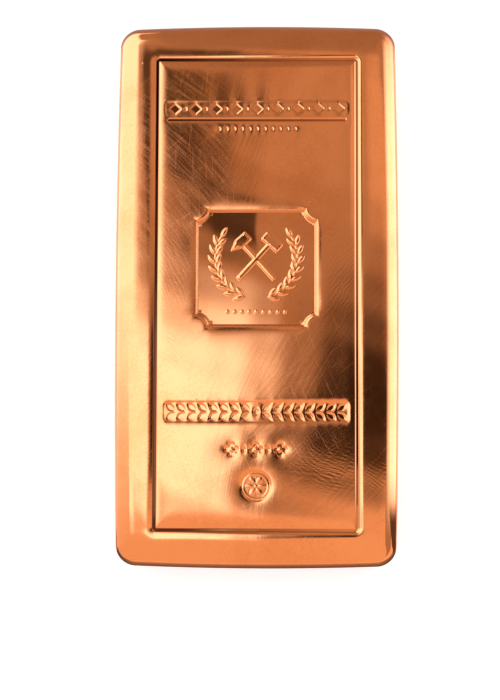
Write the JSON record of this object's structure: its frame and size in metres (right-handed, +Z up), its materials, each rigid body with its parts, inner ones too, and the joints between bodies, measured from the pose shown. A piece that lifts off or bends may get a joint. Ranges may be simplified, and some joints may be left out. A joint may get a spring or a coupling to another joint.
{
  "type": "copper ingot",
  "caption": "Oblong copper ingot with soft rounded edges, a struck frame line round its upper face and a sunken square plaque with scooped corners; raw stock that lies flat.",
  "frame": {"origin": "middle of the flat base that the ingot lies on", "axes": "+Z up out of the struck face, +Y along the ingot towards the end that is up in the picture, +X across it"},
  "size_m": [0.099, 0.19, 0.0308],
  "materials": {
    "copper": "satin"
  },
  "bodies": {
    "root": {"copper_ingot": "copper"}
  },
  "joints": []
}
